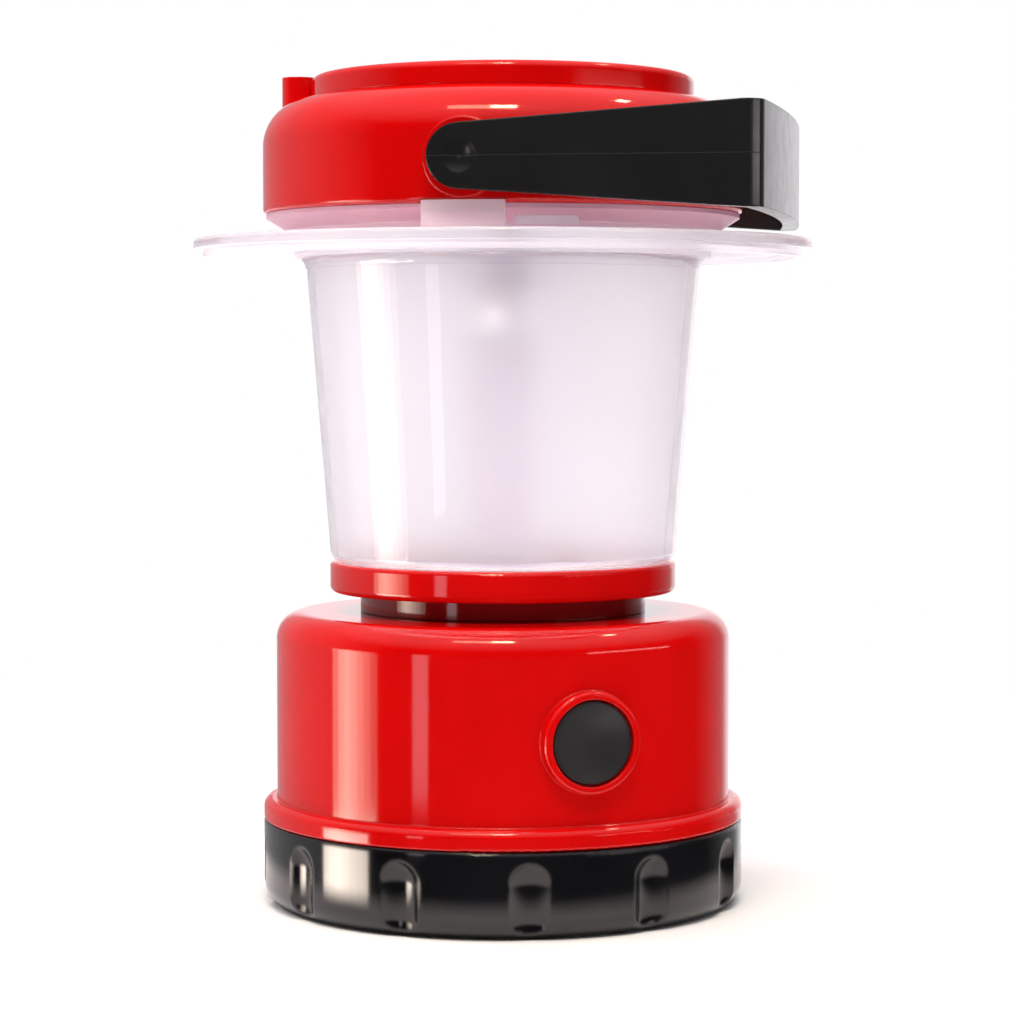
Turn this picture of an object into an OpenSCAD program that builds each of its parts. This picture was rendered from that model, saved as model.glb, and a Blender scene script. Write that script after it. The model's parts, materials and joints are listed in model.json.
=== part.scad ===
// Camping lantern: screw-capped battery base, clear brimmed globe, round head and a swing handle.
// Frame: +Z up, origin at the centre of the standing rim, handle pivots on the Y axis,
// handle folded towards +X. All sizes in millimetres.

/* [Base] */
// Outer radius of the screw cap and of the housing's flange
base_r = 46; // [45:0.5:48]
// Height of the screw cap
cap_h = 16.2; // [15.5:0.1:17]
// Number of grip scallops round the cap
scallops = 12; // [8:1:12]
// Height of the housing's top face
housing_top = 55.6; // [55:0.1:56.4]
// Radius of the housing's rounded shoulder
shoulder_r = 5; // [3:0.5:6]
// Radius of the collar that holds the globe
collar_r = 33.2; // [33:0.1:34]

/* [Globe] */
// Outer radius of the globe just above the collar
globe_low_r = 33; // [32.8:0.1:33.2]
// Outer radius of the globe under its brim
globe_high_r = 37.8; // [37:0.1:38.4]
// Radius of the brim
brim_r = 59; // [57:0.5:61]
// Wall thickness of the globe
globe_wall = 1.6; // [1.4:0.1:2]

/* [Head] */
// Outer radius of the head
head_r = 45.8; // [45.4:0.1:46.2]
// Height of the top of the raised cover ring above the floor
overall_h = 158; // [157.4:0.1:159]
// Radius of the raised cover ring
cover_r = 36.5; // [36:0.1:36.6]

/* [Handle] */
// Height of the pivot axis
pivot_z = 139.4; // [138.8:0.1:140]
// Distance from the pivot axis to the outside of the grip, at its middle
handle_reach = 55.8; // [55.4:0.1:58]
// Half width of the arm at the grip
grip_half = 9.3; // [7:0.1:9.8]
// Half width of the arm at the pivot
arm_end_r = 5.8; // [5:0.1:6.4]

/* [Button] */
// Angle of the button round the base, from -Y towards +X
button_azimuth = 30; // [0:15:60]
// Radius of the button
button_r = 7.5; // [6.5:0.1:7.6]
// Travel of the button
button_travel = 1.2; // [0.8:0.1:1.4]

/* [Hidden] */

$fn = 96;
eps = 0.01;
gap = 0.2;              // clearance between pieces that come apart

// colours
RED = [0.80, 0.03, 0.02];
BLACK = [0.06, 0.06, 0.07];
GREY = [0.30, 0.30, 0.32];
WHITE = [0.93, 0.93, 0.91];
CLEAR = [0.93, 0.92, 0.97, 0.35];
STEEL = [0.75, 0.75, 0.76];
BRASS = [0.80, 0.66, 0.30];
CHROME = [0.88, 0.88, 0.90];

// base heights and radii
flange_h = 3.8;
flange_round = 1.6;
bay_top = 19.4;         // the bay widens above this height
housing_r = base_r - 2.5;
wall = 2.2;
cap_floor = 2.4;
cap_bore_r = base_r - 3.5;
skirt_r = base_r - 5.4;
skirt_in_r = skirt_r - wall;
skirt_low = 4.6;
deck_low = housing_top - wall;
rim_in_r = base_r - 8;
seal_r = 0.9;           // section of the rubber rings

// rings on the housing's skirt that the cap's bore runs on
ring_root = 2.4;
ring_crest = 1.4;
ring_low = 6.4;
ring_high = 10.4;
ring_r = cap_bore_r - 0.06;

// battery pack: four AA cells, two of them standing on their heads
cell_r = 7.1;
cell_h = 49.5;
nub_r = 2.6;
nub_h = 1;
cell_pitch = 16.4;
cell_at = cell_pitch / 2;
disc_z = 2.6;
disc_h = 1.8;
disc_r = skirt_in_r - 1.6;
post_r = 2.1;           // the cap's middle post, which the disc hangs on
post_top = disc_z + disc_h + 0.1;
small_pilot_r = 1;
washer_h = 0.5;
strip_w = 7.2;          // width of a contact strip
strip_over = 7;         // its length beyond the two cells' axes
plate_h = 0.4;
spring_h = 2.4;
contact_z = disc_z + disc_h + plate_h;                     // top of the lower contacts
pack_top = contact_z + spring_h + cell_h + nub_h;          // underside of the upper contacts
cradle_r = 21;
cradle_low = 8.2;
hanger_h = 2;           // the cradle's flange, screwed up against the deck
hanger_z = deck_low - hanger_h - gap;
cover_h = 1.4;
cover_screw_r = 1;
guide_at = 17.6;        // the two pins that keep the contact disc from turning
guide_r = 1.3;
guide_h = 14;

// collar, light engine and globe foot
neck_r = 27.4;
neck_in_r = 23.6;
deck_hole_r = neck_in_r + 0.3;
collar_low = 59.4;
collar_top = 65.2;
collar_floor = 61.4;
board_h = 1.6;
board_r = 27.6;
foot_r = 31.1;          // globe spigot inside the collar
foot_in_r = foot_r - 2;
globe_seal_r = 0.5;
foot_low = collar_floor + 2 * globe_seal_r;
collar_screw_at = 25.7;
board_screw_at = 25.5;
lead_u = 22.3;          // the leads pass the neck here, on either side of the switch
lead_v = 4;
pole_at = 14.6;         // the battery pack's two poles, at -X and either side of the X axis
pole_y = cell_at;
solder = 0.6;           // length of lead standing out of the light board

// globe and brim
brim_low = 123;
brim_top = 126.6;
brim_h = 2;
lip_r = brim_r - 1.8;   // the step under the brim's edge
rest_r = 40.3;          // upstand the head sits on, inside a flared rim
rest_top = 129.2;
rim_neck_r = rest_r + 1.2;   // the rim's neck, under its flare
rim_neck_top = 128.2;
flare_r = 45.2;
flare_top = 131.3;
tab_r = head_r + 0.5;
tab_w = 14.9;
tab_top = 131.9;
slot_w = 11;            // slot in the rim beside each tab
slot_low = 127.7;
slot_h = 1.7;

// reflector and the frosted tube under it
reflector_plate = 2.4;
reflector_z = rest_top - reflector_plate;
reflector_tip = 108;
reflector_r = globe_high_r - globe_wall - 0.4;
reflector_wall = 1.5;
reflector_screw_at = 24;
well_r = 15;            // radius of the trumpet's open back
tube_r = 6.3;

// head
head_low = rest_top + 0.05;
head_side_low = flare_top + 0.1;
head_foot_r = rest_r - 0.1;     // stands inside the globe's rim
head_round = 9;         // radius of the shoulder
head_floor = 2;
head_shoulder = overall_h - 5;
cover_top = overall_h - 0.6;    // the lug stands a little above it
cover_in_r = cover_r - 3.1;
lug_r = 3.2;
lug_at = cover_r + lug_r + gap;
lug_low = head_shoulder - 7;
pad_r = 7.1;            // flat round pad behind each handle arm
pad_y = 46.3;
pad_root = 40;

// handle
arm_in = pad_y + 0.2;
arm_out = arm_in + 3.4;
grip_wall = 3.2;
arm_reach = handle_reach - 3;      // where the grip meets the arms
corner_r = 3.6;
axle_r = 2.5;
axle_clear = 0.07;
axle_in = 38.5;

// button and switch, measured out from the lantern's axis
bezel_face = housing_r + 1.9;
bezel_r = button_r + 1.8;
button_bore = button_r + 0.08;
button_mouth = button_r + 0.4;
button_z = 35.2;
button_in = 38.5;
button_back = button_in - 1.4;
plunger_w = 3.2;
plunger_in = 28;
switch_face = 32;
switch_w = 8.4;
board_u = 22.2;
switch_board_half = 14;   // half height of the switch's board
boss_v = 11.5;
boss_z = 11;
boss_end = 40.6;        // just inside the housing wall
screw_r = 0.85;         // shank of the small self-tapping screws
pilot_r = screw_r + 0.05;
hole_r = 1.1;           // and the clearance hole for them

// ---------- helpers ----------

// a sharp outer corner to take off a profile, leaving radius r; dx and dz point out of the corner
module corner_off(x, z, r, dx, dz) {
    difference() {
        translate([dx > 0 ? x - r : x - 1, dz > 0 ? z - r : z - 1]) square(r + 1);
        translate([x - dx * r, z - dz * r]) circle(r);
    }
}

// round tube of radius r swept along a list of points; ref is a direction that no stretch runs along
function unit(v) = v / norm(v);
function along(p, i) = unit(p[min(i + 1, len(p) - 1)] - p[max(i - 1, 0)]);
function smooth(p, n) = [for (i = [0 : len(p) - 2], k = [0 : n - 1])
    let (t = k / n, a = p[max(i - 1, 0)], b = p[i], c = p[i + 1], d = p[min(i + 2, len(p) - 1)])
    0.5 * (2 * b + (c - a) * t + (2 * a - 5 * b + 4 * c - d) * t * t + (3 * b - a - 3 * c + d) * t * t * t)];
// a route with n steps to each stretch; its first and last stretches stay straight
function routed(p, n) = let (m = [for (i = [1 : len(p) - 2]) p[i]])
    concat([p[0]], smooth(m, n), [m[len(m) - 1], p[len(p) - 1]]);

module tube(p, r, ref, sides = 8) {
    rings = [for (i = [0 : len(p) - 1])
        let (t = along(p, i), u = unit(cross(t, ref)), v = cross(t, u))
        for (k = [0 : sides - 1]) p[i] + r * (cos(360 * k / sides) * u + sin(360 * k / sides) * v)];
    last = (len(p) - 1) * sides;
    skin = [for (i = [0 : len(p) - 2], k = [0 : sides - 1])
        let (a = i * sides + k, b = i * sides + (k + 1) % sides) [a, a + sides, b + sides, b]];
    polyhedron(rings, concat(skin, [[for (k = [0 : sides - 1]) k]],
        [[for (k = [sides - 1 : -1 : 0]) last + k]]), convexity = 8);
}

// coil spring standing on z = 0, from radius low to radius high
module coil(low, high, h, turns, wire) {
    n = turns * 16;
    tube([for (i = [0 : n]) let (s = i / n, r = low + (high - low) * s)
        [r * cos(22.5 * i), r * sin(22.5 * i), wire + (h - 2 * wire) * s]], wire, [0, 0, 1], 6);
}

// pan-head screw with its head's underside at z = 0 and its shank pointing down
module screw(shank, length, head = 2) {
    difference() {
        union() {
            cylinder(r = head, h = 1.2, $fn = 32);
            translate([0, 0, -length]) cylinder(r = shank, h = length + eps, $fn = 24);
        }
        for (a = [0, 90]) rotate([0, 0, a]) translate([-head * 0.7, -0.25, 0.6]) cube([head * 1.4, 0.5, 1]);
    }
}

// the four cell places, as [x, y, standing on its head]
cell_places = [[-cell_at, -cell_at, false], [cell_at, -cell_at, true],
               [cell_at, cell_at, false], [-cell_at, cell_at, true]];

// the button's own axis: local +X points out of the lantern
module at_button() {
    rotate([0, 0, button_azimuth - 90]) translate([0, 0, button_z]) children();
}

// children laid along local +X instead of +Z
module outward() { rotate([0, 90, 0]) children(); }

// places for n screws round the axis
module around(n, r, start = 0) {
    for (i = [0 : n - 1]) rotate([0, 0, start + 360 * i / n]) translate([r, 0, 0]) children();
}

// ---------- screw cap ----------

module scallop_cutters() {
    cut_r = 5.5;
    depth = 1.7;
    low = 3;
    high = 10;
    first = -75;
    around(scallops, base_r + cut_r - depth, first) {
        translate([0, 0, low]) cylinder(r = cut_r, h = high - low, $fn = 48);
        translate([0, 0, low]) sphere(cut_r, $fn = 48);
        translate([0, 0, high]) sphere(cut_r, $fn = 48);
    }
}

module base_cap() {
    foot_round = 4.2;
    lip_round = 0.5;
    recess = 1;         // the underside stands this far up inside the rim
    top = cap_h - 0.1;
    color(BLACK) difference() {
        union() {
            difference() {
                rotate_extrude() difference() {
                    square([base_r, top]);
                    corner_off(base_r, 0, foot_round, 1, -1);
                    corner_off(base_r, top, lip_round, 1, 1);
                    translate([-1, -1]) square([rim_in_r + 1, recess + 1]);
                    translate([-1, cap_floor]) square([cap_bore_r + 1, cap_h]);
                }
                scallop_cutters();
            }
            cylinder(r = post_r, h = post_top);
        }
        translate([0, 0, 1.8]) cylinder(r = small_pilot_r, h = post_top);
    }
}

// ---------- contact disc, carried by the cap but kept from turning ----------

module contact_disc() {
    color(GREY) difference() {
        union() {
            translate([0, 0, disc_z]) cylinder(r = disc_r, h = disc_h);
            for (s = [-1, 1]) translate([s * guide_at, 0, disc_z])
                cylinder(r = guide_r, h = guide_h, $fn = 32);
        }
        cylinder(r = post_r + 0.1, h = 20);
        around(8, 28, 22.5) cylinder(r = 3, h = 20, $fn = 48);
    }
}

module disc_washer() {
    color(STEEL) translate([0, 0, post_top]) difference() {
        cylinder(r = 3.6, h = washer_h);
        translate([0, 0, -1]) cylinder(r = small_pilot_r + 0.1, h = 3);
    }
}

module disc_screw() {
    color(STEEL) translate([0, 0, post_top + washer_h]) screw(small_pilot_r - 0.05, 3, 1.9);
}

// one bent strip joins each neighbouring pair of cells
module contact_strip() {
    length = cell_pitch + strip_over;
    translate([-length / 2, -strip_w / 2, 0]) cube([length, strip_w, plate_h]);
}

module cap_contacts() {
    color(BRASS) for (s = [-1, 1])
        translate([0, s * cell_at, disc_z + disc_h]) contact_strip();
}

module cell_spring() { coil(3.3, 2.4, spring_h, 2.5, 0.35); }

module cap_springs() {
    color(STEEL) for (p = cell_places) if (!p[2]) translate([p[0], p[1], contact_z]) cell_spring();
}

// ---------- base housing ----------

module base_housing() {
    color(RED) difference() {
        union() {
            rotate_extrude() difference() {
                union() {
                    translate([0, cap_h]) square([housing_r, housing_top - cap_h]);
                    translate([0, cap_h]) square([base_r, flange_h]);
                    translate([0, skirt_low]) square([skirt_r, cap_h - skirt_low + eps]);
                }
                corner_off(housing_r, housing_top, shoulder_r, 1, 1);
                corner_off(base_r, cap_h + flange_h, flange_round, 1, 1);
                corner_off(base_r, cap_h, 0.4, 1, -1);
                translate([-1, 0]) square([skirt_in_r + 1, bay_top]);
                difference() {
                    translate([-1, bay_top - eps]) square([housing_r - wall + 1, deck_low - bay_top + eps]);
                    corner_off(housing_r - wall, deck_low, shoulder_r - wall, 1, 1);
                }
                translate([-1, 0]) square([deck_hole_r + 1, 100]);
            }
            rotate_extrude() for (z = [ring_low, ring_high]) translate([0, z])
                polygon([[skirt_r - 1, -ring_root / 2], [skirt_r, -ring_root / 2], [ring_r, -ring_crest / 2],
                         [ring_r, ring_crest / 2], [skirt_r, ring_root / 2], [skirt_r - 1, ring_root / 2]]);
            at_button() {
                outward() translate([0, 0, button_in]) cylinder(r = bezel_r, h = bezel_face - button_in);
                for (v = [-1, 1]) translate([board_u + board_h, v * boss_v, v * boss_z])
                    outward() cylinder(r = 2.4, h = boss_end - board_u - board_h, $fn = 32);
            }
        }
        at_button() {
            outward() cylinder(r = button_bore, h = 60);
            translate([bezel_face - 1.4, 0, 0]) outward() cylinder(r = button_mouth, h = 5);
            translate([bezel_face, 0, 0]) outward() rotate_extrude()
                corner_off(bezel_r, 0, 0.7, 1, 1);
            for (v = [-1, 1]) translate([board_u, v * boss_v, v * boss_z])
                outward() cylinder(r = pilot_r, h = 8, $fn = 24);
        }
        around(4, collar_screw_at, 45) cylinder(r = hole_r, h = 100, $fn = 32);
    }
}

module seal_ring() {
    color([0.12, 0.12, 0.12]) rotate_extrude()
        translate([(skirt_r + cap_bore_r) / 2, cap_h - seal_r - 0.05]) circle(seal_r, $fn = 32);
}

// ---------- battery pack ----------

module battery_cradle() {
    color(GREY) difference() {
        union() {
            translate([0, 0, cradle_low]) cylinder(r = cradle_r, h = pack_top - cradle_low);
            translate([0, 0, hanger_z]) cylinder(r = 29, h = hanger_h);
        }
        for (p = cell_places) translate([p[0], p[1], 0]) cylinder(r = cell_r + 0.35, h = 100);
        for (s = [-1, 1]) translate([s * guide_at, 0, 0]) cylinder(r = guide_r + 0.15, h = 22, $fn = 32);
        around(4, collar_screw_at, 45) cylinder(r = hole_r, h = 100, $fn = 32);
        translate([0, 0, pack_top - 6]) cylinder(r = cover_screw_r + 0.05, h = 10, $fn = 32);
        // notch in the flange for the switch's two leads
        at_button() translate([21.1, -6, 14]) cube([3.6, 12, 6]);
    }
}

module battery_cells() {
    color([0.16, 0.30, 0.46]) for (p = cell_places)
        translate([p[0], p[1], contact_z + (p[2] ? 0 : spring_h)]) {
            translate([0, 0, p[2] ? nub_h : 0]) cylinder(r = cell_r, h = cell_h, $fn = 64);
            translate([0, 0, p[2] ? 0 : cell_h - eps]) cylinder(r = nub_r, h = nub_h + eps, $fn = 32);
        }
}

module top_contacts() {
    color(BRASS) translate([0, 0, pack_top]) {
        translate([cell_at, 0, 0]) rotate([0, 0, 90]) contact_strip();
        for (s = [-1, 1]) translate([-cell_at, s * cell_at, 0]) {
            translate([-strip_w / 2, -strip_w / 2, 0]) cube([strip_w, strip_w, plate_h]);
            translate([-strip_w, -1.5, 0]) cube([4, 3, plate_h]);
        }
    }
}

module top_springs() {
    color(STEEL) for (p = cell_places) if (p[2])
        translate([p[0], p[1], pack_top]) mirror([0, 0, 1]) cell_spring();
}

module contact_cover() {
    color(GREY) translate([0, 0, pack_top]) difference() {
        union() {
            translate([0, 0, plate_h]) cylinder(r = cradle_r, h = cover_h);
            cylinder(r = 3, h = 1);
        }
        translate([0, 0, -1]) cylinder(r = cover_screw_r + 0.2, h = 5);
        for (s = [-1, 1]) translate([-pole_at - 1.8, s * pole_y - 2, 0]) cube([3.4, 4, 3]);
    }
}

module cover_screws() {
    color(STEEL) translate([0, 0, pack_top + plate_h + cover_h]) screw(cover_screw_r, 7, 2);
}

// ---------- button and switch ----------

module power_button() {
    dome = 26;          // radius of the button's crown
    rise = 0.5;         // height of the crown above the bezel
    color(BLACK) at_button() intersection() {
        union() {
            translate([button_back, 0, 0]) outward()
                cylinder(r = bezel_r - 0.6, h = button_in - 0.1 - button_back);
            translate([button_in - 0.2, 0, 0]) outward() cylinder(r = button_r, h = 8);
        }
        translate([bezel_face + rise - dome, 0, 0]) sphere(dome, $fn = 128);
    }
}

module switch_plunger() {
    color(WHITE) at_button() translate([plunger_in, -plunger_w / 2, -plunger_w / 2])
        cube([button_back - plunger_in, plunger_w, plunger_w]);
}

module switch_body() {
    color(GREY) at_button() difference() {
        translate([board_u + board_h, -switch_w / 2, -switch_w / 2])
            cube([switch_face - board_u - board_h, switch_w, switch_w]);
        translate([plunger_in - button_travel - 0.4, -plunger_w / 2 - 0.15, -plunger_w / 2 - 0.15])
            cube([20, plunger_w + 0.3, plunger_w + 0.3]);
    }
}

module switch_board() {
    color([0.05, 0.35, 0.15]) at_button() difference() {
        translate([board_u, -14.5, -switch_board_half]) cube([board_h, 29, 2 * switch_board_half]);
        for (v = [-1, 1]) translate([0, v * boss_v, v * boss_z]) outward()
            cylinder(r = hole_r, h = 40, $fn = 24);
    }
}

module switch_screws() {
    color(STEEL) at_button() for (v = [-1, 1])
        translate([board_u, v * boss_v, v * boss_z]) rotate([0, -90, 0]) screw(screw_r, 6, 1.8);
}

// ---------- collar and light engine ----------

module globe_collar() {
    color(RED) difference() {
        rotate_extrude() difference() {
            union() {
                translate([0, housing_top]) square([neck_r, collar_low - housing_top + eps]);
                translate([0, collar_low]) square([collar_r, collar_top - collar_low]);
            }
            corner_off(collar_r, collar_low, 1.2, 1, -1);
            corner_off(collar_r, collar_top, 0.8, 1, 1);
            translate([-1, 0]) square([neck_in_r + 1, 100]);
            translate([-1, collar_floor]) square([foot_r + 0.15 + 1, 100]);
        }
        around(4, collar_screw_at, 45) cylinder(r = pilot_r, h = collar_floor - 1.2, $fn = 24);
        around(3, board_screw_at) translate([0, 0, collar_floor - 4]) cylinder(r = pilot_r, h = 5, $fn = 24);
    }
}

module collar_screws() {
    color(STEEL) around(4, collar_screw_at, 45) translate([0, 0, hanger_z])
        mirror([0, 0, 1]) screw(screw_r, 8.6, 2);
}

module led_board() {
    color(WHITE) translate([0, 0, collar_floor]) difference() {
        cylinder(r = board_r, h = board_h);
        around(3, board_screw_at) translate([0, 0, -1]) cylinder(r = hole_r, h = 5, $fn = 24);
        translate([-pole_at, pole_y, -1]) cylinder(r = lead_hole_r, h = 5, $fn = 24);
        translate(beside(lead_u, lead_v, -1)) cylinder(r = lead_hole_r, h = 5, $fn = 24);
    }
}

module led_screws() {
    color(STEEL) around(3, board_screw_at) translate([0, 0, collar_floor + board_h]) screw(screw_r, 5, 1.9);
}

module led_emitter() {
    color([0.95, 0.85, 0.35]) translate([0, 0, collar_floor + board_h]) {
        translate([-3.5, -3.5, 0]) cube([7, 7, 1]);
        translate([0, 0, 1 - eps]) cylinder(r = 2.4, h = 0.6, $fn = 48);
    }
}

module led_lens() {
    lens_r = 5.1;
    chip_room = 7.4;
    base = collar_floor + board_h;
    color(CLEAR) difference() {
        union() {
            translate([0, 0, base]) cylinder(r = lens_r, h = 3);
            intersection() {
                translate([0, 0, base + 1.5]) sphere(lens_r);
                translate([-8, -8, base + 2]) cube([16, 16, 8]);
            }
        }
        translate([-chip_room / 2, -chip_room / 2, base - 1]) cube([chip_room, chip_room, 3]);
    }
}

// frosted tube over the light, closed at its top under the reflector's tip
module diffuser_tube() {
    base = collar_floor + board_h;
    color([0.95, 0.95, 0.97, 0.6]) difference() {
        translate([0, 0, base]) cylinder(r = tube_r, h = reflector_tip - 0.1 - base);
        translate([0, 0, base - 1]) cylinder(r = tube_r - 1, h = reflector_tip - 1.1 - base + 1);
    }
}

// driver chip, coil and chip parts on the light board
module board_parts() {
    top = collar_floor + board_h;
    color([0.10, 0.10, 0.11]) {
        translate([10, -3, top]) cube([5, 6, 1.4]);
        translate([-3, 11, top]) cube([6, 5, 2.4]);
        for (i = [0 : 3]) translate([-6 + 4 * i, -14, top]) cube([2, 1.2, 0.6]);
        for (s = [-1, 1]) translate([-12.5, s * 9 - 1, top]) cube([1.6, 2, 0.8]);
    }
}

// ---------- leads ----------

// a point at the leads' place beside the switch: out from the axis, along the board, height
function beside(u, v, z) =
    let (a = button_azimuth - 90) [u * cos(a) - v * sin(a), u * sin(a) + v * cos(a), z];
lead_r = 0.55;
lead_hole_r = 0.8;
pole_z = pack_top + plate_h;
board_edge = [board_u + board_h / 2, button_z + switch_board_half];
lead_low = housing_top - 2;

// battery plus to the switch: over the contact cover and down beside the cradle
module wire_battery_plus() {
    over = (pole_z + 1.4 + collar_floor) / 2;
    route = [[-pole_at, -pole_y, pole_z], [-pole_at, -pole_y, pole_z + 1], [-13.2, -9.6, over],
             [-6, -15.6, over], [1, -19.4, over], beside(lead_u - 0.3, -lead_v - 1.6, over - 0.3),
             beside(lead_u, -lead_v, over - 2), beside(lead_u, -lead_v, lead_low),
             beside(board_edge[0], -lead_v, board_edge[1] + 1),
             beside(board_edge[0], -lead_v, board_edge[1])];
    color([0.75, 0.05, 0.05]) tube(routed(route, 4), lead_r, [1, 0.6, 0.1]);
}

// switch to the light board's plus pad
module wire_led_plus() {
    route = [beside(board_edge[0], lead_v, board_edge[1]), beside(board_edge[0], lead_v, board_edge[1] + 1),
             beside(lead_u, lead_v, lead_low), beside(lead_u, lead_v, collar_floor - 2),
             beside(lead_u, lead_v, collar_floor + board_h + solder)];
    color([0.75, 0.05, 0.05]) tube(routed(route, 4), lead_r, [1, 0, 0]);
}

// battery minus straight up to the light board's minus pad
module wire_battery_minus() {
    route = [[-pole_at, pole_y, pole_z], [-pole_at, pole_y, pole_z + 0.6],
             [-pole_at + 0.3, pole_y, pole_z + 1.8],
             [-pole_at + 0.3, pole_y, collar_floor - 1], [-pole_at, pole_y, collar_floor + 0.4],
             [-pole_at, pole_y, collar_floor + board_h + solder]];
    color([0.08, 0.08, 0.08]) tube(routed(route, 4), lead_r, [0, 1, 0]);
}

// ---------- globe ----------

module globe() {
    color(CLEAR) difference() {
        union() {
            rotate_extrude() difference() {
                union() {
                    translate([0, foot_low]) square([foot_r, collar_top + 0.4 - foot_low]);
                    polygon([[0, collar_top + 0.2], [globe_low_r, collar_top + 0.2],
                             [globe_high_r, brim_low + 1], [0, brim_low + 1]]);
                    translate([0, brim_top - brim_h]) square([brim_r, brim_h]);
                    translate([0, brim_low]) square([lip_r, brim_top - brim_low - eps]);
                    translate([0, brim_top - eps]) square([rest_r, rest_top - brim_top + eps]);
                    polygon([[rest_r - 1, brim_top - eps], [rim_neck_r, brim_top - eps],
                             [rim_neck_r, rim_neck_top], [flare_r, flare_top - 0.8],
                             [flare_r, flare_top], [rest_r - 1, flare_top]]);
                    difference() {
                        translate([0, brim_low - 2]) square([globe_high_r + 2, 3]);
                        translate([globe_high_r + 2, brim_low - 2]) circle(2);
                    }
                }
                corner_off(globe_low_r, collar_top + 0.2, 1.6, 1, -1);
                corner_off(brim_r, brim_top, 0.8, 1, 1);
                translate([globe_high_r + 2, brim_low - 5]) square([lip_r - 1.6 - globe_high_r - 2, 6]);
                translate([-1, 0]) square([foot_in_r + 1, 100]);
                translate([-1, rest_top]) square([head_foot_r + gap + 1, 10]);
                polygon([[-1, collar_top + 1.6], [globe_low_r - globe_wall, collar_top + 1.6],
                         [globe_high_r - globe_wall, brim_low], [globe_high_r - globe_wall, 200], [-1, 200]]);
            }
            intersection() {
                translate([0, 0, brim_top - eps]) difference() {
                    cylinder(r = tab_r, h = tab_top - brim_top + eps);
                    translate([0, 0, -1]) cylinder(r = tab_r - 2.2, h = 20);
                }
                translate([-tab_w / 2, -80, 0]) cube([tab_w, 160, 200]);
            }
        }
        for (turn = [0, 180]) rotate([0, 0, turn]) difference() {
            translate([tab_w / 2 + 1.2, -60, slot_low]) cube([slot_w, 40, slot_h]);
            cylinder(r = rest_r + 0.8, h = overall_h);
        }
    }
}

module globe_seal() {
    color([0.2, 0.2, 0.2]) rotate_extrude()
        translate([(foot_r + foot_in_r) / 2, collar_floor + globe_seal_r]) circle(globe_seal_r, $fn = 24);
}

// ---------- reflector and head ----------

// trumpet-shaped outline from the blunt tip up to the plate, drawn in by t
function trumpet(t) = [for (i = [0 : 12]) let (s = i / 12)
    [3 - t + (reflector_r - 6) * pow(s, 3), reflector_tip + t + (reflector_z - reflector_tip) * s]];

module reflector() {
    color(CHROME) difference() {
        rotate_extrude() difference() {
            union() {
                translate([0, reflector_z]) square([reflector_r, reflector_plate]);
                polygon(concat([[0, reflector_z + 0.1], [0, reflector_tip]], trumpet(0),
                               [[20, reflector_z + 0.1]]));
            }
            polygon(concat([[-1, reflector_tip + reflector_wall]],
                           [for (p = trumpet(reflector_wall)) if (p[0] < well_r) p],
                           [[well_r, rest_top + 1], [-1, rest_top + 1]]));
        }
        around(3, reflector_screw_at) translate([0, 0, rest_top - 1.6])
            cylinder(r = small_pilot_r + 0.05, h = 3, $fn = 24);
    }
}

module reflector_screws() {
    color(STEEL) around(3, reflector_screw_at) translate([0, 0, head_low + head_floor])
        screw(small_pilot_r, 3.4, 2.4);
}

module head() {
    color(RED) difference() {
        union() {
            rotate_extrude() difference() {
                union() {
                    translate([0, head_low]) square([head_foot_r, head_shoulder - head_round - head_low]);
                    translate([0, head_side_low]) square([head_r, head_shoulder - head_side_low]);
                }
                corner_off(head_r, head_shoulder, head_round, 1, 1);
                corner_off(head_r, head_side_low, 0.8, 1, -1);
                difference() {
                    translate([-1, head_low + head_floor])
                        square([head_r - wall + 1, head_shoulder - wall - head_low - head_floor]);
                    corner_off(head_r - wall, head_shoulder - wall, head_round - wall, 1, 1);
                    translate([head_foot_r - wall, 0]) square([20, head_side_low + wall]);
                }
                translate([-1, head_shoulder - wall - 1]) square([cover_in_r, 10]);
            }
            for (s = [-1, 1]) translate([0, s * pad_root, pivot_z]) rotate([-90 * s, 0, 0])
                cylinder(r = pad_r, h = pad_y - pad_root);
            translate([-lug_at, 0, lug_low]) cylinder(r = lug_r, h = overall_h - lug_low, $fn = 48);
        }
        translate([0, -60, pivot_z]) rotate([-90, 0, 0]) cylinder(r = axle_r + axle_clear, h = 120);
        around(3, reflector_screw_at) translate([0, 0, head_low - 1])
            cylinder(r = small_pilot_r + 0.2, h = 4, $fn = 24);
        intersection() {
            difference() {
                cylinder(r = 60, h = tab_top + gap);
                cylinder(r = tab_r - 2.4, h = tab_top + gap + 1);
            }
            translate([-tab_w / 2 - gap, -80, head_low - 1]) cube([tab_w + 2 * gap, 160, 20]);
        }
    }
}

module top_cover() {
    dish = cover_top - 2.4;
    plug_r = cover_in_r - 1.15;
    plug_wall = 2;
    color(RED) rotate_extrude() difference() {
        union() {
            translate([0, head_shoulder + 0.05]) square([cover_r, cover_top - head_shoulder - 0.05]);
            translate([0, head_shoulder - wall - 1.8]) square([plug_r, wall + 2]);
        }
        corner_off(cover_r, cover_top, 1.3, 1, 1);
        translate([-1, dish]) square([cover_in_r + 1, 10]);
        translate([-1, 0]) square([plug_r - plug_wall + 1, head_shoulder - 0.4]);
    }
}

// ---------- handle ----------

// plan outline of the handle, grown inwards by d: two arms and a bowed grip with round corners
function grip_bow(half, rise) = (half * half + rise * rise) / (2 * rise);

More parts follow.
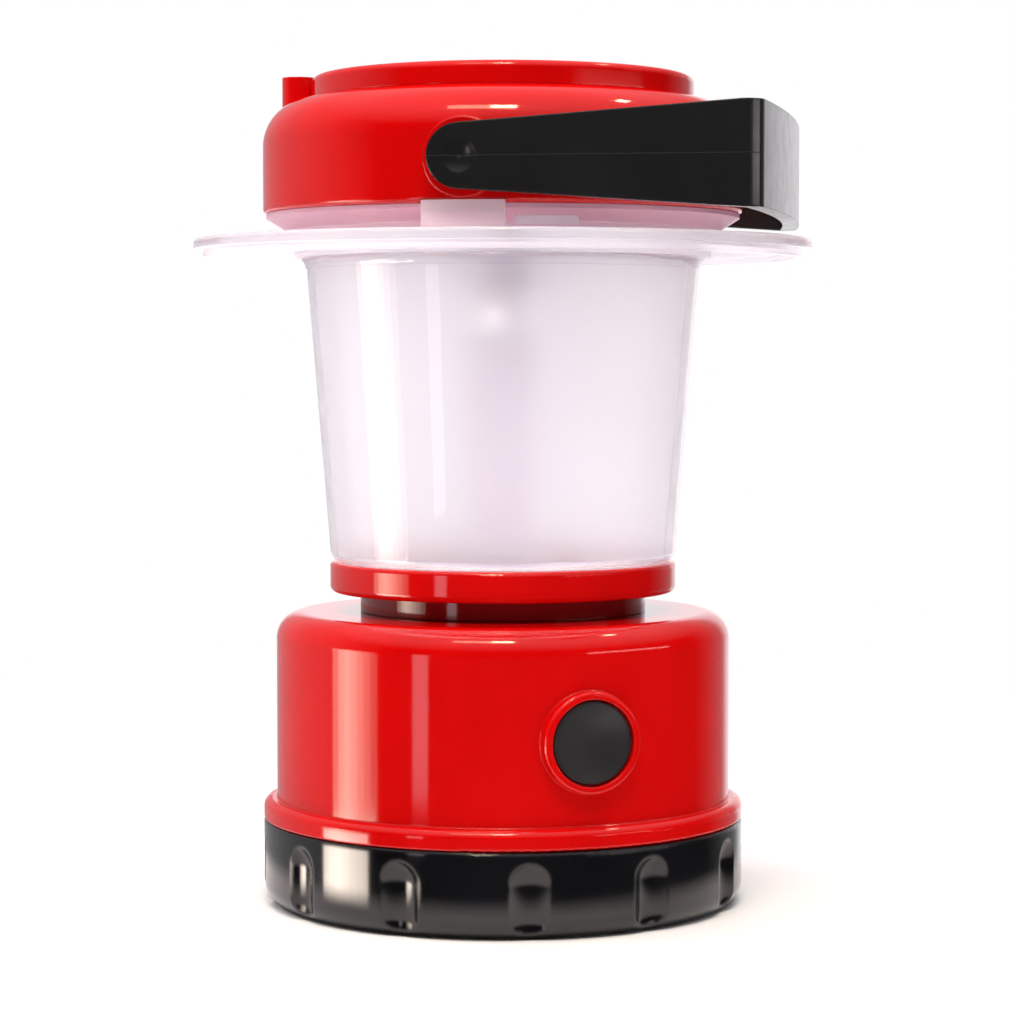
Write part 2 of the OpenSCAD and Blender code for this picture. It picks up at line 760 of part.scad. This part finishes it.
function handle_plan(d) =
    let (half = arm_out - d,
         corner = max(corner_r - d, 0.8),
         rise = handle_reach - arm_reach,
         bow = grip_bow(arm_out, rise) - d,
         centre = handle_reach - d - bow,
         sweep = asin((half - corner) / (bow - corner)),
         cx = centre + (bow - corner) * cos(sweep),
         side = [for (i = [0 : 8]) let (a = sweep + (90 - sweep) * i / 8)
             [cx + corner * cos(a), half - corner + corner * sin(a)]],
         face = [for (i = [-12 : 12]) let (a = sweep * i / 12) [centre + bow * cos(a), bow * sin(a)]])
    concat([[-20, -half]], [for (i = [8 : -1 : 1]) [side[i][0], -side[i][1]]], face,
           [for (i = [1 : 8]) side[i]], [[-20, half]]);

module handle() {
    dimple_r = 8;
    dimple_depth = 0.6;
    taper = asin((grip_half - arm_end_r) / arm_reach);
    color(BLACK) translate([0, 0, pivot_z]) difference() {
        union() {
            intersection() {
                translate([0, 0, -20]) linear_extrude(40) difference() {
                    polygon(handle_plan(0));
                    polygon([for (p = handle_plan(grip_wall)) p[0] < -10 ? [-30, p[1]] : p]);
                }
                rotate([90, 0, 0]) translate([0, 0, -60]) linear_extrude(120) union() {
                    circle(arm_end_r);
                    polygon([[arm_end_r * -sin(taper), -arm_end_r * cos(taper)], [arm_reach - 3, -grip_half],
                             [70, -grip_half], [70, grip_half], [arm_reach - 3, grip_half],
                             [arm_end_r * -sin(taper), arm_end_r * cos(taper)]]);
                }
            }
            // an axle and a rubbing boss inside each arm
            for (s = [-1, 1]) rotate([-90 * s, 0, 0]) {
                translate([0, 0, axle_in]) cylinder(r = axle_r, h = arm_in + 0.5 - axle_in, $fn = 48);
                translate([0, 0, arm_in - 0.15]) cylinder(r = arm_end_r - 0.6, h = 0.5, $fn = 48);
            }
        }
        // moulded dimples over the axles
        for (s = [-1, 1]) rotate([-90 * s, 0, 0])
            translate([0, 0, arm_out + dimple_r - dimple_depth]) sphere(dimple_r, $fn = 64);
    }
}

// ---------- assembly ----------

base_cap();
contact_disc();
disc_screw();
disc_washer();
cap_contacts();
cap_springs();
base_housing();
seal_ring();
battery_cradle();
battery_cells();
top_contacts();
top_springs();
contact_cover();
cover_screws();
power_button();
switch_plunger();
switch_body();
switch_board();
switch_screws();
globe_collar();
collar_screws();
led_board();
led_screws();
led_emitter();
led_lens();
diffuser_tube();
board_parts();
wire_battery_plus();
wire_battery_minus();
wire_led_plus();
globe();
globe_seal();
reflector();
reflector_screws();
head();
top_cover();
handle();
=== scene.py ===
"""Camping lantern: materials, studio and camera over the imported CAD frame."""
import json
import math

import bmesh
import bpy
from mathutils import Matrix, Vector


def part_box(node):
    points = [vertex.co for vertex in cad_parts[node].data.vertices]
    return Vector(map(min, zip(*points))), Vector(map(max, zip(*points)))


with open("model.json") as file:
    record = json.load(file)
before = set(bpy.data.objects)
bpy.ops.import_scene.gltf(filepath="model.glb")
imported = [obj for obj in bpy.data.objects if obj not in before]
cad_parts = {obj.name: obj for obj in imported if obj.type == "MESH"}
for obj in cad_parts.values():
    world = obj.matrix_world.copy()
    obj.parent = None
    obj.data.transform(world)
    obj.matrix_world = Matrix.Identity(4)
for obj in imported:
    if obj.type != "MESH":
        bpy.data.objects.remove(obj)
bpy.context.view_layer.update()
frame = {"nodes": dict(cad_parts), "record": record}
nodes = frame["nodes"]

MM = 0.001


# ---------- places on the object, where a material changes ----------

handle_low, handle_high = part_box("handle")
PARTING_Z = (handle_low.z + handle_high.z) / 2      # the handle is symmetrical about its pivot's height

# the globe's tapered wall
GLOBE_WALL = 1.6 * MM
GLOBE_LOW_R = 33 * MM
GLOBE_HIGH_R = 37.8 * MM
GLOBE_LOW_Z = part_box("globe_collar")[1].z
GLOBE_HIGH_Z = GLOBE_LOW_Z + 60 * MM
BRIM_Z = 123 * MM           # underside of the brim
RIM_Z = 126.9 * MM          # the rim and the tabs stand above this height, over the brim
RIM_R = 45.2 * MM           # the tabs reach out a little beyond the rim
SLOT_R = 41.1 * MM          # floor of the slots in the rim
GLOBE_RIBS = 18
NECK_R = 27.4 * MM          # neck of the housing, under the collar


# ---------- node helpers ----------

class Nodes:
    """A node tree, with small helpers that add a node and return its output socket."""

    def __init__(self, tree):
        self.tree = tree

    def node(self, kind, **settings):
        made = self.tree.nodes.new(kind)
        for key, value in settings.items():
            setattr(made, key, value)
        return made

    def feed(self, socket, value):
        """Joins a socket to another, or sets its plain value."""
        if isinstance(value, bpy.types.NodeSocket):
            self.tree.links.new(value, socket)
        else:
            socket.default_value = value

    def math(self, operation, a, b=0.0, clamp=False):
        made = self.node("ShaderNodeMath", operation=operation, use_clamp=clamp)
        self.feed(made.inputs[0], a)
        self.feed(made.inputs[1], b)
        return made.outputs[0]

    def remap(self, value, low, high, to_low=0.0, to_high=1.0, curve="SMOOTHSTEP"):
        """Carries low..high over to to_low..to_high, held at both ends."""
        made = self.node("ShaderNodeMapRange", interpolation_type=curve)
        for socket, item in zip(made.inputs, (value, low, high, to_low, to_high)):
            self.feed(socket, item)
        return made.outputs[0]

    def mix(self, amount, a, b):
        """From colour a to colour b."""
        made = self.node("ShaderNodeMix", data_type="RGBA")
        self.feed(made.inputs["Factor"], amount)
        for name, value in (("A", a), ("B", b)):
            socket = [s for s in made.inputs if s.name == name and s.type == "RGBA"][0]
            self.feed(socket, value if isinstance(value, bpy.types.NodeSocket) else (*value, 1.0))
        return [s for s in made.outputs if s.type == "RGBA"][0]

    def mix_shaders(self, amount, a, b):
        made = self.node("ShaderNodeMixShader")
        for socket, item in zip(made.inputs, (amount, a, b)):
            self.feed(socket, item)
        return made.outputs[0]

    def ray(self, kind):
        """1 where the ray that looks is of the given kind."""
        return self.node("ShaderNodeLightPath").outputs[f"Is {kind} Ray"]


class Paint(Nodes):
    """One procedural material, with a Principled shader."""

    def __init__(self, name):
        self.mat = bpy.data.materials.new(name)
        self.mat.use_nodes = True
        super().__init__(self.mat.node_tree)
        self.bsdf = self.tree.nodes["Principled BSDF"]
        self.place = self.node("ShaderNodeTexCoord").outputs["Object"]

    def set(self, **inputs):
        """Sets inputs of the Principled shader; an underscore stands for a space."""
        for key, value in inputs.items():
            self.feed(self.bsdf.inputs[key.replace("_", " ")], value)

    def current(self, name):
        """The socket that feeds an input of the Principled shader."""
        return self.bsdf.inputs[name].links[0].from_socket

    def shader(self, kind, colour):
        made = self.node(kind)
        self.feed(made.inputs["Color"], colour)
        return made.outputs[0]

    def surface(self, shader):
        """Makes the shader what the material shows."""
        self.feed(self.tree.nodes["Material Output"].inputs["Surface"], shader)

    def split(self):
        """The place's three coordinates."""
        made = self.node("ShaderNodeSeparateXYZ")
        self.feed(made.inputs[0], self.place)
        return made.outputs

    def stretch(self, scale):
        made = self.node("ShaderNodeMapping")
        self.feed(made.inputs["Vector"], self.place)
        made.inputs["Scale"].default_value = scale
        return made.outputs[0]

    def noise(self, size, detail=2.0, vector=None, rough=0.5):
        """Noise whose features are about size metres across."""
        made = self.node("ShaderNodeTexNoise")
        self.feed(made.inputs["Vector"], vector or self.place)
        made.inputs["Scale"].default_value = 1 / size
        made.inputs["Detail"].default_value = detail
        made.inputs["Roughness"].default_value = rough
        return made.outputs["Fac"]

    def bump(self, height, depth, normal=None):
        """Bump of the given depth in metres."""
        made = self.node("ShaderNodeBump")
        made.inputs["Distance"].default_value = depth
        self.feed(made.inputs["Height"], height)
        if normal:
            self.feed(made.inputs["Normal"], normal)
        return made.outputs[0]

    def rounded(self, radius):
        """The normal of the surface with its sharp edges rounded to the radius."""
        bevel = self.node("ShaderNodeBevel", samples=6)
        bevel.inputs["Radius"].default_value = radius
        return bevel.outputs[0]

    def edges(self, soft):
        """1 on sharp outer and inner edges, 0 on flat and gently curved faces, from a rounded normal."""
        dot = self.node("ShaderNodeVectorMath", operation="DOT_PRODUCT")
        self.feed(dot.inputs[0], soft)
        self.feed(dot.inputs[1], self.node("ShaderNodeNewGeometry").outputs["Normal"])
        return self.remap(dot.outputs["Value"], 0.99, 0.90)

    def angle(self):
        """Angle round the lantern's axis, in radians."""
        x, y, _ = self.split()
        return self.math("ARCTAN2", y, x)

    def reach(self):
        """Distance from the lantern's axis."""
        x, y, _ = self.split()
        squares = [self.math("MULTIPLY", side, side) for side in (x, y)]
        return self.math("SQRT", self.math("ADD", *squares))


# ---------- materials ----------

PATCHY = 0.12               # share by which a plastic's roughness varies from place to place


def plastic(name, deep, light, gloss, grain, grain_depth, worn=(0.5, 0.5, 0.5), wear=0.25,
            edge_radius=0.45 * MM):
    """Moulded plastic: flow-marked colour, fine surface grain, hairline scratches and rubbed edges.

    The grain's size is in millimetres and its depth in metres.
    """
    p = Paint(name)
    flow = p.noise(22 * MM, 3, p.stretch((1, 1, 0.45)))
    cloud = p.noise(4 * MM, 4)
    colour = p.mix(p.remap(flow, 0.3, 0.7), deep, light)
    scuff = p.remap(p.noise(1.1 * MM, 6, p.stretch((1, 1, 6)), 0.7), 0.60, 0.78)
    soft = p.rounded(edge_radius)
    edge = p.math("MULTIPLY", p.edges(soft), p.remap(p.noise(2.5 * MM, 4), 0.40, 0.75), clamp=True)
    rubbed = p.math("MULTIPLY", edge, wear)
    colour = p.mix(rubbed, colour, worn)
    rough = p.remap(cloud, 0.25, 0.8, gloss * (1 - PATCHY), gloss * (1 + PATCHY))
    rough = p.math("ADD", rough, p.math("MULTIPLY", scuff, 0.03))
    rough = p.math("ADD", rough, p.math("MULTIPLY", edge, 0.12))
    grainy = p.bump(p.noise(grain * MM, 3), grain_depth, soft)
    p.set(Base_Color=colour, Roughness=rough, IOR=1.5, Normal=p.bump(p.noise(9 * MM, 1), 12e-6, grainy))
    return p


def red_plastic():
    p = plastic("red_plastic", (0.56, 0.001, 0.001), (0.64, 0.002, 0.002), 0.075, 0.5, 0.6e-6,
                worn=(0.86, 0.10, 0.08))
    # painted shade: the narrow neck under the seat ring, which the ring shades, is painted darker
    inwards = p.remap(p.reach(), NECK_R + 0.8 * MM, NECK_R + 0.2 * MM)
    neck = p.math("MULTIPLY", inwards, p.math("LESS_THAN", p.split()[2], GLOBE_LOW_Z))
    painted_shade = p.math("MULTIPLY", neck, 0.62)
    p.set(Base_Color=p.mix(painted_shade, p.current("Base Color"), (0.05, 0.002, 0.006)))
    return p.mat


def black_cap():
    p = plastic("black_cap", (0.003, 0.003, 0.004), (0.006, 0.006, 0.008), 0.075, 0.45, 1e-6,
                worn=(0.05, 0.05, 0.055), wear=0.3, edge_radius=1.1 * MM)
    p.set(IOR=1.58)
    return p.mat


def black_handle():
    """Satin black with a fine mould texture and the mould's parting line along its middle."""
    p = plastic("black_handle", (0.009, 0.009, 0.010), (0.012, 0.012, 0.013), 0.20, 0.25, 3e-6,
                worn=(0.06, 0.06, 0.065), wear=0.3)
    off = p.math("ABSOLUTE", p.math("SUBTRACT", p.split()[2], PARTING_Z))
    line = p.remap(off, 0.03 * MM, 0.13 * MM, 1.0, 0.0)
    p.set(Base_Color=p.mix(line, p.current("Base Color"), (0.024, 0.024, 0.026)),
          Normal=p.bump(line, 9e-6, p.current("Normal")))
    return p.mat


def black_button():
    return plastic("black_button", (0.014, 0.014, 0.016), (0.026, 0.026, 0.028), 0.34, 0.22, 12e-6,
                   worn=(0.07, 0.07, 0.075), wear=0.3).mat


def grey_plastic():
    return plastic("grey_plastic", (0.045, 0.045, 0.048), (0.065, 0.065, 0.068), 0.42, 0.3, 10e-6).mat


def white_plastic():
    return plastic("white_plastic", (0.74, 0.74, 0.71), (0.82, 0.82, 0.80), 0.35, 0.3, 5e-6,
                   worn=(0.6, 0.6, 0.57)).mat


def component_black():
    return plastic("component_black", (0.012, 0.012, 0.013), (0.02, 0.02, 0.022), 0.5, 0.15, 8e-6).mat


def lead(name, colour):
    paler = tuple(min(1.0, c * 1.4 + 0.01) for c in colour)
    return plastic(name, colour, paler, 0.36, 0.3, 6e-6, wear=0.1).mat


def ribbed(p):
    """Upright ribs on the globe's inner wall: their height, and 1 on the inner wall."""
    slope = (GLOBE_HIGH_R - GLOBE_LOW_R) / (GLOBE_HIGH_Z - GLOBE_LOW_Z)
    middle_at_0 = GLOBE_LOW_R - GLOBE_LOW_Z * slope - GLOBE_WALL / 2
    middle = p.math("ADD", p.math("MULTIPLY", p.split()[2], slope), middle_at_0)
    inside = p.math("LESS_THAN", p.reach(), middle)
    wave = p.math("SINE", p.math("MULTIPLY", p.angle(), GLOBE_RIBS))
    return p.math("MULTIPLY", wave, inside), inside


def satin_rim(p, shader):
    """The brim, and more so the rim and the tabs over it, are satin over the given shader.

    The rim's pink is painted: it stands for the red of the head's foot, which stands inside it, showing
    through; the tabs and the slots are left pale.
    """
    height = p.split()[2]
    over_brim = p.remap(height, RIM_Z, RIM_Z + 0.6 * MM)
    on_tab = p.remap(p.reach(), RIM_R + 0.1 * MM, RIM_R + 0.6 * MM)
    in_slot = p.remap(p.reach(), SLOT_R + 0.25 * MM, SLOT_R + 0.05 * MM)
    # painted glow: the rim is tinted pink for the head's red seen through it; the tabs and slots stay
    # pale
    rim = p.mix(p.math("MAXIMUM", on_tab, in_slot), (0.96, 0.52, 0.66), (0.98, 0.88, 0.95))
    satin = p.shader("ShaderNodeBsdfDiffuse", p.mix(over_brim, (0.95, 0.93, 1.0), rim))
    on_brim = p.remap(height, BRIM_Z - 0.4 * MM, BRIM_Z, 0.0, 0.12)
    amount = p.math("ADD", on_brim, p.math("MULTIPLY", over_brim, 0.32))
    return p.mix_shaders(amount, shader, satin)


def clear_plastic(name, tint, rough, milk, globe=False):
    """Clear moulded plastic with a little haze in it. The globe has ribs that spread the light."""
    p = Paint(name)
    cloud = p.noise(14 * MM, 3)
    scuff = p.remap(p.noise(0.9 * MM, 6, p.stretch((1, 1, 5)), 0.7), 0.60, 0.80)
    ripple = p.bump(p.noise(11 * MM, 2, p.stretch((1, 1, 0.25))), 60e-6)
    uneven = p.remap(cloud, 0.3, 0.7, rough * 0.6, rough * 1.5)
    haze = p.math("ADD", uneven, p.math("MULTIPLY", scuff, 0.05))
    if globe:
        ribs, inside = ribbed(p)
        ripple = p.bump(ribs, 40e-6, ripple)
        haze = p.math("ADD", haze, p.math("MULTIPLY", inside, 0.36))
    colour = p.mix(cloud, tint, tuple(min(1.0, c * 1.02) for c in tint))
    # painted shade: sharp edges of the clear plastic are tinted lavender-grey, for the dark lines seen
    # along its edges
    edge = p.math("MULTIPLY", p.edges(p.rounded(0.5 * MM)), 0.6)
    p.set(Base_Color=p.mix(edge, colour, (0.72, 0.64, 0.88)), Roughness=haze, IOR=1.49,
          Transmission_Weight=1.0, Normal=ripple)
    # light passes through to the pieces inside, and a thin haze scatters it
    through = p.shader("ShaderNodeBsdfTransparent", (*tint, 1))
    milky = p.shader("ShaderNodeBsdfTranslucent", (0.98, 0.945, 1.0, 1))
    seen = p.mix_shaders(milk, p.bsdf.outputs[0], milky)
    if globe:
        seen = satin_rim(p, seen)
    p.surface(p.mix_shaders(p.ray("Shadow"), seen, through))
    return p.mat


def metal(name, colour, rough, turned=False):
    """Metal with fine brushing or turning marks and slightly dulled patches."""
    p = Paint(name)
    marks = p.noise(0.25 * MM, 4, p.stretch((1, 1, 12) if turned else (1, 8, 1)))
    patch = p.noise(5 * MM, 4)
    dull = tuple(c * 0.78 for c in colour)
    uneven = p.math("ADD", patch, p.math("MULTIPLY", marks, 0.3))
    p.set(Base_Color=p.mix(p.remap(patch, 0.35, 0.7), colour, dull), Metallic=1.0,
          Roughness=p.remap(uneven, 0.4, 0.9, rough, rough * 1.8), Normal=p.bump(marks, 6e-6))
    return p.mat


def rubber():
    return plastic("seal_rubber", (0.012, 0.012, 0.012), (0.022, 0.022, 0.021), 0.6, 0.2, 14e-6,
                   worn=(0.08, 0.08, 0.08)).mat


BAND_Z = 38 * MM            # the cells' jackets change colour at this height


def cell_jacket():
    """Printed metal jacket of a cell: a copper band over a dark one, with no lettering."""
    p = Paint("cell_jacket")
    wave = p.noise(6 * MM, 3)
    band = p.remap(p.split()[2], BAND_Z, BAND_Z + 0.4 * MM)
    colour = p.mix(band, (0.015, 0.045, 0.12), (0.55, 0.36, 0.13))
    p.set(Base_Color=p.mix(p.remap(wave, 0.4, 0.7, 0, 0.2), colour, (0.3, 0.3, 0.3)), Metallic=0.7,
          Roughness=p.remap(wave, 0.3, 0.7, 0.22, 0.34), Normal=p.bump(p.noise(0.6 * MM, 3), 5e-6))
    return p.mat


TRACK_WAVES = (2400, 1700)  # how closely a board's tracks run, in radians per metre across X and Y


def circuit_board(name, mask, copper):
    """Solder mask with faint tracks under it."""
    p = Paint(name)
    grid = p.math("MAXIMUM", *(p.math("SINE", p.math("MULTIPLY", side, dense))
                               for side, dense in zip(p.split(), TRACK_WAVES)))
    track = p.math("MULTIPLY", p.remap(grid, 0.90, 0.97), p.remap(p.noise(7 * MM, 1), 0.50, 0.53))
    uneven = p.mix(p.noise(8 * MM, 3), mask, tuple(c * 0.86 for c in mask))
    colour = p.mix(track, uneven, copper)
    p.set(Base_Color=colour, Roughness=p.remap(p.noise(3 * MM, 3), 0.3, 0.7, 0.28, 0.42),
          Normal=p.bump(track, 30e-6, p.bump(p.noise(0.4 * MM, 3), 4e-6)))
    return p.mat


def phosphor():
    p = Paint("phosphor")
    grain = p.noise(0.2 * MM, 3)
    p.set(Base_Color=p.mix(grain, (0.85, 0.62, 0.10), (0.93, 0.75, 0.22)),
          Roughness=p.remap(grain, 0.3, 0.7, 0.3, 0.5), Normal=p.bump(grain, 10e-6))
    return p.mat


MATERIALS = {
    "red_plastic": red_plastic(),
    "black_cap": black_cap(),
    "black_handle": black_handle(),
    "black_button": black_button(),
    "grey_plastic": grey_plastic(),
    "white_plastic": white_plastic(),
    "component_black": component_black(),
    "lead_red": lead("lead_red", (0.45, 0.01, 0.01)),
    "lead_black": lead("lead_black", (0.01, 0.01, 0.01)),
    "clear_globe": clear_plastic("clear_globe", (0.985, 0.975, 1.0), 0.03, milk=0.20, globe=True),
    "clear_lens": clear_plastic("clear_lens", (0.98, 0.98, 0.97), 0.03, milk=0.03),
    "frosted_tube": clear_plastic("frosted_tube", (0.95, 0.94, 0.96), 0.45, milk=0.3),
    "steel": metal("steel", (0.62, 0.62, 0.63), 0.26),
    "plated_brass": metal("plated_brass", (0.72, 0.60, 0.34), 0.24),
    "chrome_reflector": metal("chrome_reflector", (0.80, 0.80, 0.83), 0.10, turned=True),
    "seal_rubber": rubber(),
    "cell_jacket": cell_jacket(),
    "board_green": circuit_board("board_green", (0.01, 0.12, 0.04), (0.03, 0.22, 0.07)),
    "board_white": circuit_board("board_white", (0.78, 0.79, 0.77), (0.66, 0.68, 0.64)),
    "phosphor": phosphor(),
}

for part in frame["record"]["subparts"]:
    mesh = nodes[part["node"]].data
    mesh.materials.clear()
    mesh.materials.append(MATERIALS[part["material_slot"]])


# ---------- studio ----------

LIT_HEIGHT = 0.08           # the lights are aimed at the lantern's axis at this height


def area(name, azimuth, elevation, distance, width, height, radiance, colour, mirrored=True):
    """A rectangular light aimed at the lantern. Azimuth is from -Y towards +X, in degrees."""
    a, e = math.radians(azimuth), math.radians(elevation)
    way = Vector((math.sin(a) * math.cos(e), -math.cos(a) * math.cos(e), math.sin(e)))
    light = bpy.data.lights.new(name, "AREA")
    light.shape, light.size, light.size_y = "RECTANGLE", width, height
    light.energy, light.color = radiance * math.pi * width * height, colour
    made = bpy.data.objects.new(name, light)
    bpy.context.collection.objects.link(made)
    made.location = Vector((0, 0, LIT_HEIGHT)) + way * distance
    made.rotation_euler = (-way).to_track_quat("-Z", "Y").to_euler()
    made.visible_glossy = mirrored


FLOOR_REACH = 8.0
FLOOR_FADE = (0.08, 0.42)       # the sheet fades to white between these distances from the axis
FLOOR_GLOSS = (0.065, 0.09)     # and leaves glossy reflections between these


def studio_floor():
    """A wide pale paper sheet that fades into the white surroundings."""
    bm = bmesh.new()
    bmesh.ops.create_grid(bm, x_segments=8, y_segments=8, size=FLOOR_REACH)
    mesh = bpy.data.meshes.new("floor")
    bm.to_mesh(mesh)
    bm.free()
    floor = bpy.data.objects.new("floor", mesh)
    bpy.context.collection.objects.link(floor)
    p = Paint("floor_paper")
    paper = p.mix(p.noise(0.12, 3), (0.91, 0.905, 0.925), (0.94, 0.935, 0.945))
    p.set(Base_Color=paper, Roughness=0.7, Specular_IOR_Level=0.1)
    away = p.reach()
    glow = p.node("ShaderNodeEmission").outputs[0]
    faded = p.mix_shaders(p.remap(away, *FLOOR_FADE), p.bsdf.outputs[0], glow)
    # the room, not the sheet, shows in glossy surfaces beyond a step from the lantern
    gone = p.math("MULTIPLY", p.ray("Glossy"), p.remap(away, *FLOOR_GLOSS))
    p.surface(p.mix_shaders(gone, faded, p.node("ShaderNodeBsdfTransparent").outputs[0]))
    mesh.materials.append(p.mat)


DARK_SIDE = math.radians(35)    # azimuth of the middle of the room's dark side


def studio_world():
    """A room that is bright behind and to the left, and dark in front and to the right."""
    world = bpy.data.worlds.new("studio")
    world.use_nodes = True
    w = Nodes(world.node_tree)
    back = w.tree.nodes["Background"]
    way = w.node("ShaderNodeTexCoord").outputs["Generated"]
    facing = w.node("ShaderNodeVectorMath", operation="DOT_PRODUCT")
    w.feed(facing.inputs[0], way)
    w.feed(facing.inputs[1], (math.sin(DARK_SIDE), -math.cos(DARK_SIDE), 0))
    part = w.node("ShaderNodeSeparateXYZ")
    w.feed(part.inputs[0], way)
    # brightness by how far a way faces the dark side, points to the back, and points up
    side = w.remap(facing.outputs["Value"], 0.05, -0.6, 0.02, 0.45, curve="LINEAR")
    behind = w.remap(part.outputs["Y"], 0.88, 0.97, 0.0, 1.2, curve="LINEAR")
    above = w.remap(part.outputs["Z"], 0.35, 0.8, 0.0, 0.8, curve="LINEAR")
    room = w.math("MAXIMUM", w.math("MAXIMUM", side, behind), above)
    # seen directly or through the globe, the surroundings are plain white
    seen = w.node("ShaderNodeMix")
    w.feed(seen.inputs["Factor"], w.math("MAXIMUM", w.ray("Camera"), w.ray("Transmission")))
    w.feed(seen.inputs["A"], room)
    w.feed(seen.inputs["B"], 1.0)
    w.feed(back.inputs["Color"], w.mix(w.ray("Camera"), (1.0, 0.975, 1.0), (1, 1, 1)))
    w.feed(back.inputs["Strength"], seen.outputs[0])
    bpy.context.scene.world = world


WINDOW_DISTANCE = 0.95
WINDOW_STRIPS = (0.35, 0.8, 1.0, 0.85, 0.6, 0.4, 0.2)   # each strip's share of the radiance


def window(name, azimuth, elevation, width, height, radiance, colour):
    """A tall window that fades from one side to the other, made of upright strips."""
    count = len(WINDOW_STRIPS)
    spread = math.degrees(width / WINDOW_DISTANCE)
    for i, share in enumerate(WINDOW_STRIPS):
        turn = spread * (i + 0.5 - count / 2) / count
        area(f"{name}_{i}", azimuth + turn, elevation, WINDOW_DISTANCE, width / count, height,
             radiance * share, colour)


WARM = (1.0, 0.80, 0.55)
# azimuth and elevation in degrees, distance, width and height in metres, radiance, colour, and
# whether the lantern's gloss mirrors the light
LIGHTS = {
    "window_low": (-69.5, -16.4, 0.99, 0.46, 0.14, 11.0, (1.0, 0.86, 0.76), True),
    "window_slit": (-31.5, -4, 0.95, 0.13, 0.25, 2.7, (1.0, 0.86, 0.93), True),
    "top_soft": (0, 84, 1.0, 1.0, 1.0, 2.5, (1, 1, 1), False),
    "left_soft": (-85, 40, 1.0, 0.5, 0.35, 4.0, (1.0, 0.97, 0.97), False),
    "front_soft": (5, 54, 1.1, 0.80, 0.10, 8.0, (1.0, 0.93, 0.84), False),
    "side_slit": (75, 7.7, 0.95, 0.85, 0.045, 6.0, (1.0, 0.92, 0.90), True),
    "ceiling_lamp": (-5, 60, 1.1, 0.46, 0.16, 8.0, WARM, True),
    "ceiling_bulb": (9, 61, 1.1, 0.15, 0.13, 38.0, WARM, True),
    "lamp_right": (115, 60, 1.0, 0.10, 0.06, 34.0, WARM, True),
}


def studio():
    studio_floor()
    studio_world()
    window("window", -69.2, -17, 0.475, 0.66, 9.3, (1.0, 0.84, 0.68))
    for name, light in LIGHTS.items():
        area(name, *light)


CAMERA_AZIMUTH = math.radians(9)
CAMERA_DISTANCE = 0.566
CAMERA_HEIGHT = 0.1037
CAMERA_LENS = 105
CAMERA_SENSOR = 36
CAMERA_CLIP = (0.01, 20)
AIM_HEIGHT = 0.0758
AIM_SIDE = 0.4 * MM         # the camera is aimed this far to the right of the axis


def camera():
    data = bpy.data.cameras.new("camera")
    data.lens, data.sensor_width = CAMERA_LENS, CAMERA_SENSOR
    made = bpy.data.objects.new("camera", data)
    bpy.context.collection.objects.link(made)
    side = Vector((math.cos(CAMERA_AZIMUTH), math.sin(CAMERA_AZIMUTH), 0))
    back = Vector((math.sin(CAMERA_AZIMUTH), -math.cos(CAMERA_AZIMUTH), 0))
    made.location = back * CAMERA_DISTANCE + Vector((0, 0, CAMERA_HEIGHT))
    aim = side * AIM_SIDE + Vector((0, 0, AIM_HEIGHT))
    made.rotation_euler = (aim - made.location).to_track_quat("-Z", "Y").to_euler()
    data.clip_start, data.clip_end = CAMERA_CLIP
    bpy.context.scene.camera = made


studio()
camera()
bpy.context.scene.view_settings.view_transform = "Standard"
bpy.context.scene.view_settings.look = "None"
